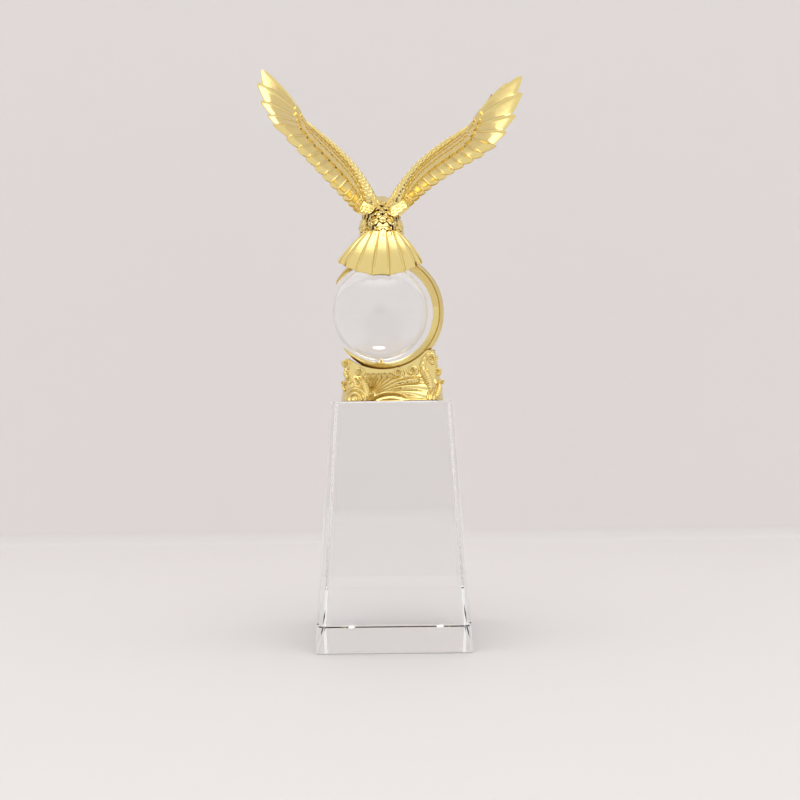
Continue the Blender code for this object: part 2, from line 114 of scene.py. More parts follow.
def gold_plating():
    """Bright gold plating on cast zinc: softened by a faint ripple and grain, with painted shade, a browner
    tone, in its recesses.
    """
    made, tree, shader = new_material("gold plating on cast zinc")
    place = add_node(tree, "ShaderNodeTexCoord").outputs["Object"]
    ripple = add_node(tree, "ShaderNodeTexNoise", inputs={
        "Vector": place, "Scale": 1 / (7 * MM), "Detail": 2.0})
    grain = add_node(tree, "ShaderNodeTexNoise", inputs={
        "Vector": place, "Scale": 1 / (0.8 * MM), "Detail": 3.0})
    tone = add_node(tree, "ShaderNodeMix", {"data_type": "RGBA"}, {
        0: ripple.outputs["Fac"], 6: linear("#EBD489"), 7: linear("#F0DB97")})
    # Painted shade: a browner colour is mixed in where the surface is hollow, standing in for the shade in
    # the recesses
    edge = add_node(tree, "ShaderNodeNewGeometry").outputs["Pointiness"]
    painted_recess_shade = add_node(tree, "ShaderNodeMapRange", inputs={
        "Value": edge, "From Min": 0.41, "From Max": 0.495, "To Min": 0.0, "To Max": 1.0})
    shade = add_node(tree, "ShaderNodeMix", {"data_type": "RGBA"}, {
        0: painted_recess_shade.outputs["Result"], 6: linear("#7E5A22"), 7: tone.outputs[2]})
    polish = add_node(tree, "ShaderNodeMapRange", inputs={
        "Value": grain.outputs["Fac"], "From Min": 0.3, "From Max": 0.7, "To Min": 0.10, "To Max": 0.19})
    first = add_node(tree, "ShaderNodeBump", inputs={
        "Height": ripple.outputs["Fac"], "Distance": 0.25 * MM, "Strength": 0.35})
    second = add_node(tree, "ShaderNodeBump", inputs={
        "Height": grain.outputs["Fac"], "Distance": 0.02 * MM, "Strength": 0.4,
        "Normal": first.outputs["Normal"]})
    shader.inputs["Metallic"].default_value = 1.0
    tree.links.new(shade.outputs[2], shader.inputs["Base Color"])
    tree.links.new(polish.outputs["Result"], shader.inputs["Roughness"])
    tree.links.new(second.outputs["Normal"], shader.inputs["Normal"])
    return made


def optical_crystal():
    """Polished optical crystal: water-clear, with flat faces that mirror and bend what is round them."""
    made, tree, shader = new_material("optical crystal")
    place = add_node(tree, "ShaderNodeTexCoord").outputs["Object"]
    swirl = add_node(tree, "ShaderNodeTexNoise", inputs={
        "Vector": place, "Scale": 1 / (30 * MM), "Detail": 1.0})
    lap = add_node(tree, "ShaderNodeBump", inputs={
        "Height": swirl.outputs["Fac"], "Distance": 0.05 * MM, "Strength": 0.05})
    shader.inputs["Base Color"].default_value = linear("#FCFDFD")
    shader.inputs["Roughness"].default_value = 0.0
    shader.inputs["IOR"].default_value = 1.52
    shader.inputs["Transmission Weight"].default_value = 1.0
    tree.links.new(lap.outputs["Normal"], shader.inputs["Normal"])
    return made


FLOOR_PAPER = "#DBD8D8"
# Painted light: the wall's paper is lighter than the floor's only to make up for the lesser light on the wall
WALL_PAPER_PAINTED_LIGHTER = "#EAE6E6"
ROOM_BEND = 12 * MM


def studio_paper():
    """Matt paper: the wall is lit less than the floor, so its paper is painted lighter to make up for it,
    painted light; clear seen from outside.
    """
    made, tree, shader = new_material("matt studio paper")
    place = add_node(tree, "ShaderNodeTexCoord").outputs["Object"]
    split = add_node(tree, "ShaderNodeSeparateXYZ", inputs={0: place})
    climb = add_node(tree, "ShaderNodeMapRange", inputs={
        "Value": split.outputs["Z"], "From Min": 0.3 * ROOM_BEND, "From Max": 1.1 * ROOM_BEND,
        "To Min": 0.0, "To Max": 1.0})
    # Blends from the floor tone up to the painted-lighter wall tone across the bend
    tone = add_node(tree, "ShaderNodeMix", {"data_type": "RGBA"}, {
        0: climb.outputs["Result"], 6: linear(FLOOR_PAPER), 7: linear(WALL_PAPER_PAINTED_LIGHTER)})
    tree.links.new(tone.outputs[2], shader.inputs["Base Color"])
    shader.inputs["Roughness"].default_value = 0.8
    outside = add_node(tree, "ShaderNodeNewGeometry").outputs["Backfacing"]
    clear = add_node(tree, "ShaderNodeBsdfTransparent")
    shown = add_node(tree, "ShaderNodeMixShader", inputs={
        0: outside, 1: shader.outputs[0], 2: clear.outputs[0]})
    tree.links.new(shown.outputs[0], tree.nodes["Material Output"].inputs["Surface"])
    return made


# Mesh helpers

def bezier(points, t):
    """Point at t on the Bezier curve of any number of control points."""
    level = [Vector(p) for p in points]
    while len(level) > 1:
        level = [a.lerp(b, t) for a, b in zip(level, level[1:])]
    return level[0]


def along(values, t):
    """Value at t between evenly spaced values."""
    place = min(max(t, 0.0), 1.0) * (len(values) - 1)
    index = min(int(place), len(values) - 2)
    return values[index] + (values[index + 1] - values[index]) * (place - index)


def ease(t):
    """Smooth step from 0 to 1 while t goes from 0 to 1."""
    t = min(max(t, 0.0), 1.0)
    return t * t * (3 - 2 * t)


def grid(bm, columns, rows, place):
    """Sheet of columns by rows quads; place gives the point at shares (across, up)."""
    made = bmesh.ops.create_grid(bm, x_segments=columns, y_segments=rows, size=1.0)["verts"]
    for vert in made:
        vert.co = place((vert.co.x + 1) / 2, (vert.co.y + 1) / 2)
    return made


PLAIN_PLATES = {}


def plain_plate(columns, rows):
    """Closed plate over the unit square, its upper sheet at height 0 and its lower sheet at height 1."""
    if (columns, rows) not in PLAIN_PLATES:
        bm = bmesh.new()
        bmesh.ops.create_grid(bm, x_segments=columns, y_segments=rows, size=1.0)
        back = bmesh.ops.extrude_face_region(bm, geom=bm.faces[:], use_keep_orig=True)["geom"]
        lower = {item for item in back if isinstance(item, bmesh.types.BMVert)}
        for vert in bm.verts:
            vert.co = ((vert.co.x + 1) / 2, (vert.co.y + 1) / 2, 1 if vert in lower else 0)
        mesh = bpy.data.meshes.new("plain_plate")
        bm.to_mesh(mesh)
        bm.free()
        PLAIN_PLATES[columns, rows] = mesh
    return PLAIN_PLATES[columns, rows]


def join(bm, part):
    """Adds a finished part to a larger mesh."""
    mesh = bpy.data.meshes.new("part")
    part.to_mesh(mesh)
    part.free()
    bm.from_mesh(mesh)
    bpy.data.meshes.remove(mesh)


def plate(bm, columns, rows, surface):
    """Closed plate; surface gives the point at shares (across, along) of its upper or its under sheet."""
    part = bmesh.new()
    part.from_mesh(plain_plate(columns, rows))
    for vert in part.verts:
        vert.co = surface(vert.co.x, vert.co.y, vert.co.z > 0.5)
    join(bm, part)


def tube(bm, line, radius, steps, sides=12, up=Vector((0, 1, 0)), flatten=1.0):
    """Round bar along line(t), radius(t) thick, with closed ends; flatten squeezes it along up."""
    def place(u, v):
        centre = line(v)
        ahead = line(min(v + 0.01, 1.0)) - line(max(v - 0.01, 0.0))
        across = up.cross(ahead).normalized()
        lift = ahead.cross(across).normalized()
        angle = 2 * PI * u
        return centre + radius(v) * (across * math.cos(angle) + flatten * lift * math.sin(angle))
    part = bmesh.new()
    close_tube(part, grid(part, sides, steps, place))
    join(bm, part)


def close_tube(bm, verts):
    """Merges a tube's seam and closes its two ends."""
    bmesh.ops.remove_doubles(bm, verts=verts, dist=1e-7)
    left = [v for v in verts if v.is_valid]
    open_edges = [e for v in left for e in v.link_edges if len(e.link_faces) == 1]
    bmesh.ops.holes_fill(bm, edges=list(set(open_edges)), sides=0)


def finished(name, bm, material, sharp=40.0):
    """Turns a mesh into a finished piece with smooth faces and crisp edges."""
    bmesh.ops.recalc_face_normals(bm, faces=bm.faces[:])
    mesh = bpy.data.meshes.new(name)
    bm.to_mesh(mesh)
    bm.free()
    mesh.shade_smooth()
    mesh.set_sharp_from_angle(angle=math.radians(sharp))
    mesh.materials.append(material)
    piece = bpy.data.objects.new(name, mesh)
    bpy.context.scene.collection.objects.link(piece)
    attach(piece, "root")
    return piece


# The crescent and its wave foot

LOWER_TIP_ANGLE = -138
UPPER_ROOT_ANGLE = 145
BAND_STEPS = 170
# Width of the band from its lower to its upper tip, as shares of BAND_WIDTH
BAND_SHARES = [0.12, 0.66, 0.9, 1.0, 1.0, 1.0, 1.0, 0.95, 0.84, 0.62, 0.2]
# Last part of the band, which runs out straight
HORN_SHARE = 0.07


def band_profile(share):
    """Corner places of the band's section: inner ridge, crest land on each side, outer ridge."""
    depth = BAND_DEPTH / 2 * min(1.0, share * 1.15)
    crest, groove = 0.52 * share, 0.09 * share
    soft = 0.03 * share
    half = [(0, 0.0), (soft, 0.08), (crest - soft, 0.97), (crest, 1.0), (crest + 0.5 * groove, 0.93),
            (crest + groove, 1.0), (crest + groove + soft, 1.0), (share - soft, 0.55)]
    near = [(r * BAND_WIDTH, -d * depth) for r, d in half]
    far = [(r * BAND_WIDTH, d * depth) for r, d in half[:0:-1]]
    return near + [(share * BAND_WIDTH, 0.0)] + far


def horn_flare(turn):
    """How far the band swings outward towards its two horns."""
    return HORN_FLARE * (max(0.0, 1 - turn / 0.12) ** 2 + 2.0 * max(0.0, (turn - 0.78) / 0.22) ** 1.3)


def make_band(bm):
    """The open ring of the crescent, ridged outside and grooved on both faces."""
    def place(u, v):
        turn = min(v / (1 - HORN_SHARE), 1.0)
        straight = max(0.0, (v - (1 - HORN_SHARE)) / HORN_SHARE)
        angle = math.radians(LOWER_TIP_ANGLE + (UPPER_ROOT_ANGLE - LOWER_TIP_ANGLE) * turn)
        outward = Vector((math.cos(angle), 0, math.sin(angle)))
        share = along(BAND_SHARES, turn) * (1 - 0.75 * straight)
        profile = band_profile(share)
        count = len(profile)
        r, y = profile[round(u * count) % count]
        ahead = Vector((-math.sin(angle), 0, math.cos(angle)))
        centre = RING_CENTRE + outward * (RING_INNER + horn_flare(turn)) + ahead * HORN_LENGTH * straight
        return centre + outward * r + Vector((0, y, 0))
    close_tube(bm, grid(bm, len(band_profile(1.0)), BAND_STEPS, place))


def make_pin(bm, side):
    """Small cone between the band and the ball, below it (side -1) or above it (side 1)."""
    reach = math.sqrt(RING_INNER ** 2 - BALL_SHIFT_X ** 2)
    root = Vector((BALL_CENTRE.x, 0, RING_CENTRE.z + side * (reach + PIN_ROOT_DEPTH)))
    tip = BALL_CENTRE + Vector((0, 0, side * (BALL_RADIUS + 0.05 * MM)))

    def thickness(t):
        return PIN_RADIUS * (1.15 if t < 0.3 else 1.4 - 0.85 * t)
    tube(bm, lambda t: root.lerp(tip, t), thickness, 10, 20)


def foot_top(x):
    """Height of the foot at x: it hollows to seat the band, and rises beside it."""
    seat = RING_OUTER - SEAT_DEPTH
    away = min(abs(x - RING_CENTRE.x), 0.75 * seat)
    return RING_CENTRE.z - (seat ** 2 - away ** 2) ** 0.5 - FOOT_Z


def foot_half_depth(v):
    """Half the foot's depth at share v of its height: it sweeps in to the band's seat."""
    top = BAND_DEPTH / 2 + SEAT_WALL
    return top + (FOOT_DEPTH / 2 - top) * (1 - min(v, 1.0)) ** 1.6


def foot_half_width(v):
    """Half the foot's width at share v of its height."""
    return FOOT_WIDTH / 2 * (1 - 0.16 * min(max(v, 0.0), 1.0))


def end_rounding(share):
    """How the foot's depth fades out towards its two ends."""
    return max(0.0, 1 - abs(share) ** 5) ** 0.5


def foot_spot(x, z, lift=0.0, side=-1):
    """Place on a broad face; x is a share of the half-width and z of the height at the middle."""
    across = x * FOOT_WIDTH / 2
    v = z * FOOT_HEIGHT / foot_top(across)
    share = min(abs(across) / foot_half_width(v), 0.97)
    deep = foot_half_depth(v) * end_rounding(share) + lift
    return Vector((across, side * deep, FOOT_Z + z * FOOT_HEIGHT))


def bump(distance, radius):
    """Height of a round boss at a distance from its middle."""
    return max(0.0, 1 - (distance / radius) ** 2) ** 0.5


# Ornament on a broad face; places are shares of the foot's half-width and height
# The point that the fan's ribs spring from
FAN_FROM = (-0.40, 0.16)
FAN_RIBS = 20
# Row of small rings below the band: first and last place across, and height
BEADS = 5
BEAD_ROW = (-0.46, -0.04, 0.88)
BEAD_SPOTS = [BEAD_ROW[0] + (BEAD_ROW[1] - BEAD_ROW[0]) * k / (BEADS - 1) for k in range(BEADS)]
BEAD_RADIUS = 0.85 * MM
BEAD_BAR = 0.42 * MM
# Ribbed spindles: start, end and radius
SPINDLES = (
    (-0.58, 0.80, -0.47, 0.10, 1.75 * MM),
    (0.55, 1.14, 0.73, 0.34, 2.5 * MM),
    (0.90, 0.62, 0.82, 0.10, 1.7 * MM),
    (-0.80, 0.86, -0.68, 0.48, 1.3 * MM),
    (-0.76, 0.58, -0.60, 0.36, 1.1 * MM),
)
# Round nests of rings at the foot's lower corners: place and reach
NESTS = ((-0.70, 0.06, 0.27), (0.85, 0.12, 0.22))
# Smooth arch below the fan: its two ends, its height there and its rise between
ARCH = (-0.40, 0.34, 0.08, 0.22)


def relief(x, z):
    """How far the broad face stands out at x and z, in curl radii."""
    flat = FOOT_HEIGHT / (FOOT_WIDTH / 2)
    rise, run = (z - FAN_FROM[1]) * flat, x - FAN_FROM[0]
    reach = math.hypot(rise, run)
    angle = math.atan2(rise, run) + 0.35 * reach
    height = 0.0
    arch_start, arch_end, arch_low, arch_high = ARCH
    middle = (2 * x - arch_start - arch_end) / (arch_end - arch_start)
    arch = arch_low + arch_high * max(0.0, 1 - middle * middle)
    fade = ease(reach * 6) * ease((1.25 - reach) * 5) * ease((0.84 - z) * 12) * ease((z - arch) * 14)
    if 0.05 < angle < 2.5 and fade > 0:
        height = 0.75 * abs(math.sin(angle * FAN_RIBS)) * fade
    if z < arch:
        height = 0.55 * bump(arch - z - 0.02, 0.16) + 0.2
    for x0, z0, size in NESTS:
        off = math.hypot(x - x0, (z - z0) * flat)
        if off < size:
            rings = 1.5 * abs(math.sin(off / size * 3 * PI)) ** 0.7 + 0.2
            height = max(height, rings * ease((size - off) * 40))
    for spot in BEAD_SPOTS:
        off = math.hypot(x - spot, (z - BEAD_ROW[2]) * flat)
        height = max(height, 0.8 * bump(off, 0.05))
    return height


def make_foot_core(bm):
    """Body of the foot: two broad carved faces that meet at its ends and along the seat of the band."""
    columns, levels = 260, 64

    def place(u, v):
        share = 2 * u - 1
        side = 0 if abs(v - 0.5) < 1e-6 else math.copysign(1, v - 0.5)
        up = min(2 * v, 2 - 2 * v)
        x = share * foot_half_width(up)
        z = up * foot_top(x)
        carved = relief(x / (FOOT_WIDTH / 2), z / FOOT_HEIGHT) if 0 < up < 0.97 else 0.0
        deep = (foot_half_depth(up) + CURL_RADIUS * carved) * end_rounding(share)
        return Vector((x, side * deep, FOOT_Z + z))
    close_tube(bm, grid(bm, columns, 2 * levels, place))


# Curls: centre x and z, radius as a share of the foot's height, start angle, turns,
# thickness and root of the stem
CURLS = [
    (-0.90, 1.30, 0.15, -60, 1.2, 1.3, (-0.84, 0.80)),
    (-0.88, 0.98, 0.12, -60, 1.1, 1.4, (-0.78, 0.62)),
    (-0.63, 1.00, 0.16, -50, 1.2, 1.5, (-0.54, 0.60)),
    (0.11, 0.95, 0.17, -30, 1.2, 1.5, (0.30, 0.66)),
    (0.38, 1.00, 0.18, -40, 1.2, 1.6, (0.54, 0.66)),
    (0.76, 1.40, 0.19, 150, -1.2, 1.9, (0.62, 0.85)),
    (0.88, 0.98, 0.13, 150, -1.1, 1.5, (0.84, 0.55)),
    (-0.96, 0.66, 0.07, -60, 0.9, 0.9, (-0.90, 0.40)),
    (0.60, 1.28, 0.09, -60, 0.8, 1.1, (0.70, 1.00)),
    (0.97, 0.66, 0.07, 150, -0.9, 0.9, (0.93, 0.35)),
]
STEM_SHARE = 0.3
RIBS_PER_CURL = 11


def make_curls(bm, side):
    """Wave crests of one broad face: each a ribbed stem that ends in an inward winding curl."""
    for x, z, size, start, turns, thick, stem in CURLS:
        root = foot_spot(stem[0], stem[1], -0.3 * CURL_RADIUS, side)
        centre = foot_spot(x, z, 0.1 * CURL_RADIUS, side)
        reach = size * FOOT_HEIGHT
        bar = min(CURL_RADIUS * thick, 0.46 * reach)

        def wound(t):
            angle = math.radians(start) + turns * 2 * PI * t
            radius = reach * (1 - 0.80 * t)
            sink = Vector((0, side * 0.5 * CURL_RADIUS * t, 0))
            return centre + sink + Vector((math.cos(angle) * radius, 0, math.sin(angle) * radius))

        def line(t):
            if t > STEM_SHARE:
                return wound((t - STEM_SHARE) / (1 - STEM_SHARE))
            first = wound(0.0)
            pull = first - (wound(0.08) - first) * 2.5
            return bezier([root, pull, first], t / STEM_SHARE)

        def radius(t):
            ribs = 1 + 0.24 * abs(math.sin(t * RIBS_PER_CURL * PI)) * (1 - t)
            knob = 0.35 * math.exp(-((1 - t) / 0.04) ** 2)
            return bar * (1.2 - 0.6 * t + knob) * ribs * (1 if t < 0.995 else 0.6)
        tube(bm, line, radius, 120, 14, Vector((0, -side, 0)))
        bmesh.ops.create_uvsphere(bm, u_segments=16, v_segments=10, radius=0.5 * reach,
                                  matrix=Matrix.Translation(centre - Vector((0, side * 0.15 * reach, 0))))


def make_spindles(bm, side):
    """Ribbed spindles that lean on one broad face."""
    for x0, z0, x1, z1, wide in SPINDLES:
        ends = [foot_spot(x0, z0, 0.2 * wide, side), foot_spot(x1, z1, 0.2 * wide, side)]
        ribs = (ends[1] - ends[0]).length / (1.35 * MM)

        def line(t):
            return ends[0].lerp(ends[1], t) + Vector((0.9 * MM * math.sin(PI * t), 0, 0))

        def radius(t):
            belly = math.sin(PI * min(max(t, 0.03), 0.97)) ** 0.6
            return wide * belly * (0.80 + 0.20 * abs(math.sin(PI * ribs * t)))
        tube(bm, line, radius, 90, 16, Vector((0, -side, 0)), 0.8)


def make_beads(bm, side):
    """Row of small rings below the band."""
    for spot in BEAD_SPOTS:
        centre = foot_spot(spot, BEAD_ROW[2], 0.7 * CURL_RADIUS, side)

        def place(u, v):
            around, across = 2 * PI * u, 2 * PI * v
            reach = BEAD_RADIUS + BEAD_BAR * math.cos(across)
            rise = BEAD_BAR * math.sin(across)
            return centre + Vector((math.cos(around) * reach, side * rise, math.sin(around) * reach))
        verts = grid(bm, 22, 10, place)
        bmesh.ops.remove_doubles(bm, verts=verts, dist=1e-7)


def make_crescent(material):
    """The casting of foot, band and pins, alike on both broad faces."""
    bm = bmesh.new()
    make_foot_core(bm)
    make_band(bm)
    for side in (-1, 1):
        make_pin(bm, side)
        make_curls(bm, side)
        make_spindles(bm, side)
        make_beads(bm, side)
    piece = finished("crescent_casting", bm, material)
    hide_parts("crescent_stand")


# The eagle, in millimetres of its own frame, with its right wing towards +X

# Control points of the right wing's arm, from the shoulder to the hand
WING_ARM = [(7, 2, 12), (17, 4, 38), (33, -3, 41), (48, -11, 55)]
# Tips of the flight feathers on the left and right: the curve of the secondaries, then each primary
SECONDARY_TIPS = {
    -1: [(-12.8, -3.0, 5.1), (-22.7, -14.9, 13.4), (-47.6, -25.7, 36.4)],
    1: [(14.0, -2.9, 8.2), (24.3, -18.4, 17.8), (48.1, -34.9, 26.2)],
}
PRIMARY_TIPS = {
    -1: [(-53.9, -28.9, 41.6), (-56.7, -25.5, 47.7), (-60.6, -21.8, 56.2), (-62.6, -16.3, 67.6),
         (-60.8, -11.1, 76.4), (-55.2, -6.5, 73.0), (-47.7, -1.4, 65.1)],
    1: [(53.5, -39.7, 28.9), (58.9, -38.2, 36.5), (63.9, -36.8, 45.2), (68.0, -34.2, 57.5),
        (68.5, -30.8, 67.2), (62.8, -25.1, 66.1), (55.9, -17.9, 62.4)],
}
SECONDARIES = 11
PRIMARIES = len(PRIMARY_TIPS[1])
FEATHERS = SECONDARIES + PRIMARIES
# Root and tip of the feather next to the body
SCAPULAR = (Vector((2.5, 3, 11)), Vector((6.0, -6.5, 1.5)))
SHOULDER = Vector(WING_ARM[0])
WING_SHIFT = Vector((0.9, 0, 0))
TAIL_FEATHERS = 7
# Stations from the tail to the beak: how far ahead, how high, half-width and half-height
SPINE = [
    (-12.0, -8.8, 3.2, 0.9), (-6.0, -3.0, 6.2, 4.2), (-1.0, 0.5, 7.4, 6.0), (4.5, 3.6, 9.6, 8.0),
    (10.0, 6.5, 10.4, 9.0), (14.5, 10.0, 8.6, 7.6), (18.0, 12.8, 6.4, 6.0), (22.0, 14.6, 5.6, 5.6),
    (26.0, 15.2, 5.2, 5.2), (29.5, 14.6, 4.0, 4.0), (32.0, 13.6, 2.2, 2.2),
]
# How far the head leans to the right
HEAD_TURN = 4.5


def eagle_place(point):
    """Takes a point of the eagle's own frame to its place on the crescent."""
    return EAGLE_PLACE + EAGLE_SPIN @ (Vector(point) * EAGLE_UNIT)


def wing_turned(turn, side):
    """Takes a point of the plain right wing to its place on the left (-1) or right (1) wing."""
    flip = Matrix.Diagonal((side, 1, 1))
    rx, ry, rz = turn
    spin = Matrix.Rotation(rz, 3, "Z") @ Matrix.Rotation(ry, 3, "Y") @ Matrix.Rotation(rx, 3, "X")
    shoulder = flip @ SHOULDER
    return lambda point: WING_SHIFT + shoulder + spin @ (flip @ Vector(point) - shoulder)


def wing_quills(turned, side):
    """Root, tip and outward way of each flight feather from the body outwards, the last scapular first."""
    lines = [tuple(turned(point) for point in SCAPULAR)]
    for k in range(SECONDARIES):
        share = k / (SECONDARIES - 1)
        lines.append((turned(bezier(WING_ARM, 0.04 + 0.72 * share)), bezier(SECONDARY_TIPS[side], share)))
    for k, tip in enumerate(PRIMARY_TIPS[side]):
        lines.append((turned(bezier(WING_ARM, 0.80 + 0.014 * k)), Vector(tip)))
    arm = turned(WING_ARM[3]) - turned(WING_ARM[0])
    return [(root, tip, side * (tip - root).cross(arm).normalized()) for root, tip in lines]


# Rise of the wing's back as a share of a feather's length, and sideways bow of the quills
ARCH_OF_WING = 0.24
QUILL_BOW = 1.7


def wing_point(quills, k, s, lift):
    """Point of the wing's back at feather number k, share s down the feathers, and lift above the skin."""
    place = min(max(k + 1, 0.0), FEATHERS)
    low = min(int(place), FEATHERS - 1)
    part = place - low
    root, tip, out = (a.lerp(b, part) for a, b in zip(quills[low], quills[low + 1]))
    out.normalize()
    length = (tip - root).length
    side = 1 if tip.x > 0 else -1
    bowed = side * QUILL_BOW * math.sin(PI * s) * ease(k / 4) * (1 - ease((k - SECONDARIES - 1) / 4))
    bow = out.cross(tip - root).normalized() * bowed
    return eagle_place(root.lerp(tip, s) - bow + out * (ARCH_OF_WING * length * s * (1 - s) + lift))


def feather_end(k):
    """Share of the full length that the flight feathers reach at place k: tips, and notches between them."""
    part = k - math.floor(k)
    feather = math.floor(k) + 1
    if part < 1e-6 or part > 1 - 1e-6:
        return 1.0
    if feather > SECONDARIES + 4:
        return 1 - 0.13 * (part / 0.68) ** 1.4 if part < 0.68 else 1 - 0.13 * (1 - part) / 0.32
    if feather < SECONDARIES:
        return 1 - 0.05 * (1 - part) ** 1.2 + 0.03 * math.sin(PI * part)
    return 1 - (0.06 + 0.012 * (feather - SECONDARIES)) * (1 - part) ** 1.2


# Places across a feather, and how high its quill line stands where it does
STEPS_PER_FEATHER = (0.0, 0.035, 0.07, 0.15, 0.3, 0.5, 0.68, 0.8, 0.93, 0.965)
RIDGE_PLACES = {0.0: 1.0, 0.035: 0.7, 0.07: 0.12, 0.93: 0.12, 0.965: 0.7}
WING_THICKNESS = 1.0
QUILL_RIDGE = 0.34
FEATHER_DISH = 0.14
TIP_DROP = 0.7


def make_flight_feathers(bm, quills):
    """One skin for the flight feathers: a raised line along each quill, a dish between, notched tips."""
    stops = [-1 + s for s in (0.3, 0.6, 0.85)]
    stops += [k + s for k in range(FEATHERS - 1) for s in STEPS_PER_FEATHER] + [FEATHERS - 1]
    rows = 20

    def surface(u, v, under):
        k = stops[round(u * (len(stops) - 1))]
        part = round(k - math.floor(k), 3)
        s = v * feather_end(k)
        ridge = RIDGE_PLACES.get(part, 0.0) if k >= 0 else 0.0
        fade = ease((s - 0.2) * 8)
        dish = FEATHER_DISH * math.sin(PI * part) if k >= 0 else 0.0
        tip_drop = TIP_DROP * ease((v - 0.93) / 0.07)
        lift = fade * (QUILL_RIDGE * ridge - dish) - tip_drop
        if under:
            lift = -WING_THICKNESS * (1 - 0.3 * v) + 0.5 * QUILL_RIDGE * ridge * fade - tip_drop
        return wing_point(quills, k, s, lift)
    plate(bm, len(stops) - 1, rows, surface)


# Rows of coverts: scales in the row, the feathers from which and to which it runs, how far down they reach
# near the body and near the tip, length of a scale, and how high they lie
COVERT_ROWS = [
    (6, -0.95, 0.9, 0.97, 0.97, 0.22, 0.10),
    (6, -0.95, 0.9, 0.82, 0.82, 0.22, 0.20),
    (5, -0.95, 0.9, 0.67, 0.67, 0.22, 0.28),
    (5, -0.95, 0.9, 0.52, 0.52, 0.22, 0.34),
    (18, -0.9, 16.9, 0.58, 0.33, 0.32, 0.35),
    (19, -0.9, 14.6, 0.38, 0.20, 0.24, 0.60),
    (19, -0.9, 11.8, 0.24, 0.14, 0.18, 0.85),
    (20, -0.9, 11.0, 0.12, 0.08, 0.13, 1.05),
]


def make_coverts(bm, quills):
    """Overlapping rows of rounded scales over the roots of the flight feathers."""
    for count, first, last, near, far, long, lift in COVERT_ROWS:
        for j in range(count):
            low = first + (last - first) * (j - 0.06) / count
            high = first + (last - first) * (j + 1.06) / count
            middle = (low + high) / 2
            reach = near + (far - near) * ease((middle - SECONDARIES + 2.5) / 5)

            def surface(u, v, under):
                t = 2 * u - 1
                k = low + (high - low) * u
                s = max(reach - long * (1 - v * (1 - 0.22 * t ** 4)), 0.0)
                dome = (0.50 * v - 0.12) * (1 - t * t) + 0.12 * math.exp(-(t / 0.2) ** 2) * v
                height = lift + dome - 0.10 * ease((v - 0.85) / 0.15)
                if under:
                    height = lift - 0.50
                return wing_point(quills, k, s, height)
            plate(bm, 8, 5, surface)


ARM_RADII = [4.8, 4.2, 3.4, 2.9, 2.7, 2.6, 2.5, 2.3, 2.0, 1.0]
ARM_SCALE_ROWS = 28
ARM_SCALES = 11


def make_wing(bm, turn, side):
    """One raised wing: its feathers and the scaled arm along their roots."""
    turned = wing_turned(turn, side)
    quills = wing_quills(turned, side)
    make_flight_feathers(bm, quills)
    make_coverts(bm, quills)
    inside = 0.1

    def arm(t):
        if t < inside:
            return turned(Vector((3, 4, 6)).lerp(Vector(WING_ARM[0]), t / inside))
        return turned(bezier(WING_ARM, 0.93 * (t - inside) / (1 - inside)))

    def thickness(t):
        return along(ARM_RADII, t) * (1 if t < 0.97 else 0.7)
    tube(bm, lambda t: eagle_place(arm(t)), lambda t: EAGLE_UNIT * thickness(t), 60, 18, flatten=0.85)
    for row in range(ARM_SCALE_ROWS):
        t = 0.06 + 0.70 * row / (ARM_SCALE_ROWS - 1)
        ahead = (arm(t - 0.01) - arm(t + 0.01)).normalized()
        size = (2.8, 0.30 * thickness(t) + 0.1, 0.22)
        ring_of_scales(bm, arm(t), ahead, 0.93 * thickness(t), ARM_SCALES, row, size)


def ring_of_scales(bm, spot, ahead, radius, count, row, size):
    """One ring of small feathers round a limb; every other row is turned by half a feather."""
    across = ahead.cross(Vector((0, 1, 0))).normalized()
    back = across.cross(ahead).normalized()
    for k in range(count):
        angle = 2 * PI * (k + 0.5 * (row % 2)) / count
        out = across * math.cos(angle) + back * math.sin(angle)
        scale_feather(bm, spot + out * radius, out, ahead, *size)


def body_section(s):
    """Middle, half-width and half-height of the body at share s from the tail to the beak."""
    y, z, wide, high = (along([station[i] for station in SPINE], s) for i in range(4))
    lean = HEAD_TURN * max(0.0, (s - 0.5) / 0.5) ** 1.2
    return Vector((lean, y, z)), wide, high


def body_frame(s):
    """The body's section at s, with its ways ahead, across and to the back."""
    middle, wide, high = body_section(s)
    ahead = (body_section(min(s + 0.05, 1.0))[0] - body_section(max(s - 0.05, 0.0))[0]).normalized()
    across = ahead.cross(Vector((0, 0, 1))).normalized()
    back = across.cross(ahead).normalized()
    return middle, wide, high, ahead, across, back


def body_point(s, angle, lift=0.0):
    """Point on the body's skin at share s and at an angle from its right side, lifted off it."""
    middle, wide, high, ahead, across, back = body_frame(s)
    return middle + across * (wide + lift) * math.cos(angle) + back * (high + lift) * math.sin(angle)


def scale_feather(bm, spot, out, ahead, long, wide, lift):
    """Small rounded contour feather that lies back from spot, with its free end lifted a little."""
    across = ahead.cross(out).normalized()

    def surface(u, v, under):
        t = 2 * u - 1
        rounded = math.sqrt(max(0.0, 1 - max(0.0, (v - 0.5) / 0.5) ** 2.4) + 0.03)
        half = wide * (0.6 + 0.4 * ease(v * 2)) * rounded
        rise = 0.04 + (lift * v + 0.06 * math.exp(-(t / 0.25) ** 2) * v) * (1 - t * t) - 0.13 * wide * t * t
        if under:
            rise -= 0.40
        return eagle_place(spot + ahead * (long * (0.5 - v)) + across * half * t + out * rise)
    plate(bm, 4, 4, surface)


BODY_LENGTH = 52.0
# Size of the body's scales from the tail to the beak
BODY_SCALES = [3.6, 4.2, 4.2, 3.8, 3.0, 2.6, 2.2]


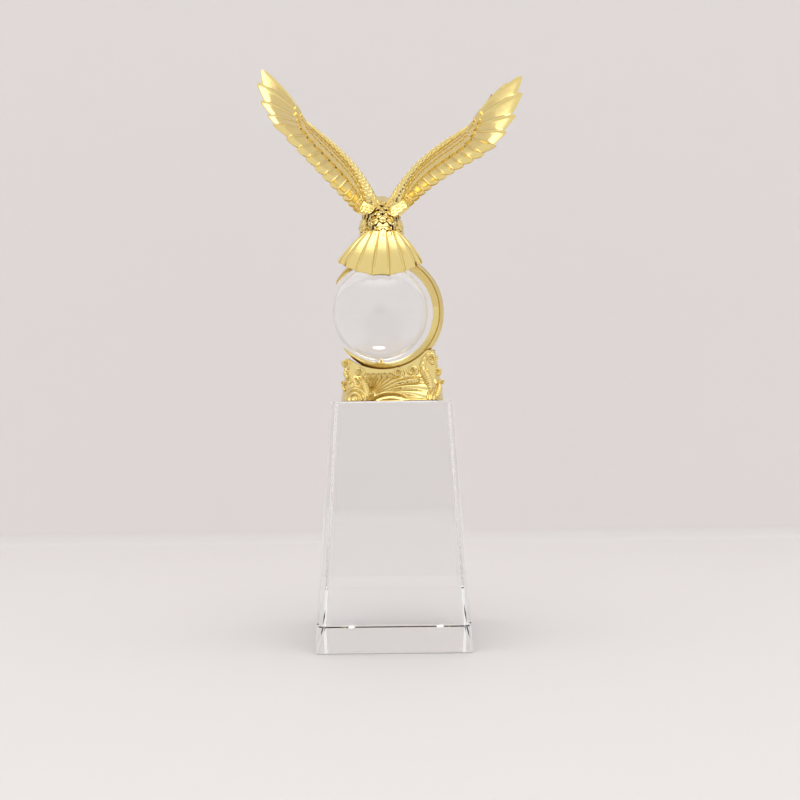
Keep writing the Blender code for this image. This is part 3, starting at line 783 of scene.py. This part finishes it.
def make_body(bm):
    """Body, neck and nape, covered with overlapping scales."""
    def place(u, v):
        return eagle_place(body_point(v, 2 * PI * u))
    close_tube(bm, grid(bm, 24, 40, place))
    s = 0.0
    row = 0
    while s < 0.96:
        size = along(BODY_SCALES, s)
        wide, high, ahead, across, back = body_frame(s)[1:]
        count = max(6, round(2 * PI * (wide + high) / 2 / size))
        for k in range(count):
            angle = 2 * PI * (k + 0.5 * (row % 2)) / count + 0.5 * PI
            out = (across * math.cos(angle) / wide + back * math.sin(angle) / high).normalized()
            scale_feather(bm, body_point(s, angle), out, ahead, 1.5 * size, 0.58 * size, 0.16)
        s += 0.68 * size / BODY_LENGTH
        row += 1


TAIL_RIDGE = 0.75
TAIL_ROLL = 0.3


def make_tail(bm):
    """Fan of tail feathers, each a dished plate with raised edges and a rolled end."""
    def line(k):
        u = math.sin(0.5 * PI * (2 * k / TAIL_FEATHERS - 1) * 0.92) / math.sin(0.46 * PI)
        root = Vector((5.8 * u, -10.6 + 2.2 * abs(u), -4.2 - 1.6 * u * u))
        tip = Vector((21.5 * u - 1.7, -22 + 8 * u * u, -31.6 + 7.8 * u * u))
        out = Vector((0.75 * u, -0.75, 0.45)).normalized()
        return root, root.lerp(tip, 0.44) + Vector((1.2 * u, -3.4, 2.2)), tip, out

    for k in range(TAIL_FEATHERS):
        low, high = line(k - 0.04), line(k + 1)

        def surface(u, v, under):
            s = v * (1 - 0.012 * math.sin(PI * u) ** 0.8)
            near, far = bezier(low[:3], s), bezier(high[:3], s)
            out = low[3].lerp(high[3], u).normalized()
            ridge = TAIL_RIDGE * math.exp(-(min(u, 1 - u) / 0.06) ** 2) * ease(3 * v)
            roll = TAIL_ROLL * ease((v - 0.93) / 0.07)
            rise = ridge - 0.30 * math.sin(PI * u) * v - roll
            if under:
                rise = -1.0 - roll
            return eagle_place(near.lerp(far, u) + out * rise)
        plate(bm, 20, 20, surface)


LEG_RADII = [5.2, 4.9, 4.0, 2.6, 1.9]
LEG_SCALES = 9
# Toes: angle from straight ahead in degrees, and reach
TOES = ((-24, 7.4), (0, 8.0), (24, 7.4), (180, 7.8))


def make_legs(bm):
    """Feathered legs and the clawed toes that hold the band."""
    up = Vector((0, 0, 1))
    for side in (-1, 1):
        joints = [Vector((side * 6.2, 7.5, 2)), Vector((side * 7.2, 7.5, -4)),
                  Vector((side * 5.6, 3.2, -10.6)), Vector((side * 5.2, 1.0, -13.9))]

        def leg(t):
            return eagle_place(bezier(joints, t))
        tube(bm, leg, lambda t: EAGLE_UNIT * along(LEG_RADII, t), 30, 20)
        for row in range(6):
            t = 0.12 + 0.13 * row
            ahead = (bezier(joints, t - 0.02) - bezier(joints, t + 0.02)).normalized()
            radius = along(LEG_RADII, t)
            size = (3.6, 0.36 * radius + 0.4, 0.6)
            ring_of_scales(bm, bezier(joints, t), ahead, radius, LEG_SCALES, row, size)
        heel = joints[3]
        for fan, reach in TOES:
            way = Matrix.Rotation(math.radians(fan), 3, "Z") @ Vector((0, 1, 0))
            toe = [heel, heel + way * reach * 0.6 + up * 1.2, heel + way * reach - up * 2.8]

            def knuckles(t):
                claw = 1.0 if t < 0.72 else (1 - (t - 0.72) / 0.28) ** 0.8
                return EAGLE_UNIT * (1.45 - 0.35 * t + 0.12 * math.cos(t * 16 * PI)) * max(claw, 0.06)
            tube(bm, lambda t: eagle_place(bezier(toe, t)), knuckles, 24, 12, up.cross(way))


def make_head(bm):
    """Hooked beak, eyes, and the brow ridges over them."""
    brow = body_section(1.0)[0]
    steps = [(0, -2.6, 0.5), (0, 0.6, 0.9), (0, 3.4, 0.6), (0, 4.9, -1.2), (0, 4.7, -3.8)]
    line = [brow + Vector(step) for step in steps]
    radii = [3.0, 2.5, 2.0, 1.2, 0.12]
    tube(bm, lambda t: eagle_place(bezier(line, t)), lambda t: EAGLE_UNIT * along(radii, t), 30, 18,
         Vector((1, 0, 0)), 0.75)
    for side in (-1, 1):
        eye = body_point(0.90, PI * (0.5 - side * 0.30), -0.55)
        bmesh.ops.create_uvsphere(bm, u_segments=18, v_segments=12, radius=1.15 * EAGLE_UNIT,
                                  matrix=Matrix.Translation(eagle_place(eye)))
        ridge = [body_point(0.82, PI * (0.5 - side * 0.26), 0.1),
                 body_point(0.91, PI * (0.5 - side * 0.20), 0.7),
                 body_point(0.99, PI * (0.5 - side * 0.24), 0.0)]
        tube(bm, lambda t: eagle_place(bezier(ridge, t)),
             lambda t: EAGLE_UNIT * (0.35 + 0.45 * math.sin(PI * t)), 14, 10, Vector((0, 0, 1)))


def make_eagle(material):
    """The casting of the whole bird."""
    bm = bmesh.new()
    make_body(bm)
    make_head(bm)
    make_tail(bm)
    make_legs(bm)
    make_wing(bm, LEFT_WING_TURN, -1)
    make_wing(bm, RIGHT_WING_TURN, 1)
    piece = finished("eagle_casting", bm, material, 50.0)
    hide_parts("eagle")


# Crystal

def make_ball(material):
    bm = bmesh.new()
    bmesh.ops.create_icosphere(bm, subdivisions=6, radius=BALL_RADIUS,
                               matrix=Matrix.Translation(BALL_CENTRE))
    piece = finished("polished_ball", bm, material, 180.0)
    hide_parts("crystal_ball")


def dress_block(material):
    """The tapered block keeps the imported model's own shape."""
    block = bpy.data.objects["crystal_base"]
    block.data.materials.clear()
    block.data.materials.append(material)


# Studio

# Eye point, tilt and focal length, the last in pixels of a square picture
CAMERA_PLACE = Vector((4.0, -436.5, 105.8)) * MM
CAMERA_PITCH = math.radians(2.06)
CAMERA_ROLL = math.radians(0.63)
FOCAL_PIXELS = 834.0
IMAGE_PIXELS = 800.0
# Paper behind the trophy, half-width and height of the room, and how far it reaches to the front
WALL_Y = 360 * MM
ROOM = 2.4
ROOM_FRONT = 0.8
FLOOR_GAP = 0.2 * MM
# Small lamp behind the trophy, which leaves one oval spark low in the ball
BACK_LIGHT_PLACE = Vector((0, 300, 420)) * MM
BACK_LIGHT_TARGET = Vector((0, 0, 167.5)) * MM
BACK_LIGHT_SIZE = (75 * MM, 35 * MM)
BACK_LIGHT_WATTS = 0.0045


def make_camera():
    data = bpy.data.cameras.new("camera")
    data.sensor_width = 36.0
    data.lens = data.sensor_width * FOCAL_PIXELS / IMAGE_PIXELS
    data.clip_start = 0.01
    camera = bpy.data.objects.new("camera", data)
    turn = Matrix.Rotation(PI / 2 + CAMERA_PITCH, 4, "X") @ Matrix.Rotation(-CAMERA_ROLL, 4, "Z")
    camera.matrix_world = Matrix.Translation(CAMERA_PLACE) @ turn
    bpy.context.scene.collection.objects.link(camera)
    bpy.context.scene.camera = camera


def make_room(material):
    """Floor that turns up into a backdrop behind the trophy in a tight curve."""
    bm = bmesh.new()

    def place(u, v):
        length = v * 3
        if length < 1:
            y, z = -ROOM_FRONT + (WALL_Y - ROOM_BEND + ROOM_FRONT) * length, -FLOOR_GAP
        elif length < 2:
            angle = (length - 1) * PI / 2
            y = WALL_Y - ROOM_BEND * (1 - math.sin(angle))
            z = ROOM_BEND * (1 - math.cos(angle)) - FLOOR_GAP
        else:
            y, z = WALL_Y, ROOM_BEND - FLOOR_GAP + ROOM * (length - 2)
        return Vector(((2 * u - 1) * ROOM, y, z))
    grid(bm, 2, 36, place)
    bm.normal_update()
    turned = [f for f in bm.faces if f.normal.dot(BALL_CENTRE - f.calc_center_median()) < 0]
    bmesh.ops.reverse_faces(bm, faces=turned)
    mesh = bpy.data.meshes.new("studio_floor")
    bm.to_mesh(mesh)
    bm.free()
    mesh.shade_smooth()
    mesh.materials.append(material)
    room = bpy.data.objects.new("studio_floor", mesh)
    bpy.context.scene.collection.objects.link(room)


def make_light(name, place, target, size, power):
    """Oval lamp that the camera doesn't see."""
    data = bpy.data.lights.new(name, "AREA")
    data.shape = "ELLIPSE"
    data.size, data.size_y = size
    data.energy = power
    light = bpy.data.objects.new(name, data)
    way = target - place
    light.matrix_world = Matrix.Translation(place) @ way.to_track_quat("-Z", "Y").to_matrix().to_4x4()
    light.visible_camera = False
    bpy.context.scene.collection.objects.link(light)


WALL_GLOW = 0.9
ROOF_GLOW = 2.7


def make_sky():
    """White surround, brightest overhead, with the dark of the room behind the camera."""
    world = bpy.data.worlds.new("soft surround")
    world.use_nodes = True
    tree = world.node_tree
    tree.nodes.clear()
    way = add_node(tree, "ShaderNodeTexCoord").outputs["Generated"]
    split = add_node(tree, "ShaderNodeSeparateXYZ", inputs={0: way})
    climb = add_node(tree, "ShaderNodeMapRange", {"interpolation_type": "SMOOTHSTEP"}, {
        "Value": split.outputs["Z"], "From Min": 0.75, "From Max": 0.95,
        "To Min": WALL_GLOW, "To Max": ROOF_GLOW})
    behind = add_node(tree, "ShaderNodeMapRange", {"interpolation_type": "SMOOTHSTEP"}, {
        "Value": split.outputs["Y"], "From Min": -0.995, "From Max": -0.94, "To Min": 0.0, "To Max": 1.0})
    colour = add_node(tree, "ShaderNodeMix", {"data_type": "RGBA"}, {
        0: behind.outputs["Result"], 6: linear("#5E4E3A"), 7: linear("#FFFDFB")})
    glow = add_node(tree, "ShaderNodeBackground", inputs={
        "Color": colour.outputs[2], "Strength": climb.outputs["Result"]})
    out = add_node(tree, "ShaderNodeOutputWorld")
    tree.links.new(glow.outputs[0], out.inputs[0])
    bpy.context.scene.world = world


gold = gold_plating()
crystal = optical_crystal()
make_crescent(gold)
make_eagle(gold)
make_ball(crystal)
dress_block(crystal)

make_camera()
make_room(studio_paper())
make_light("back light", BACK_LIGHT_PLACE, BACK_LIGHT_TARGET, BACK_LIGHT_SIZE, BACK_LIGHT_WATTS)
make_sky()
bpy.context.scene.view_settings.view_transform = "Standard"
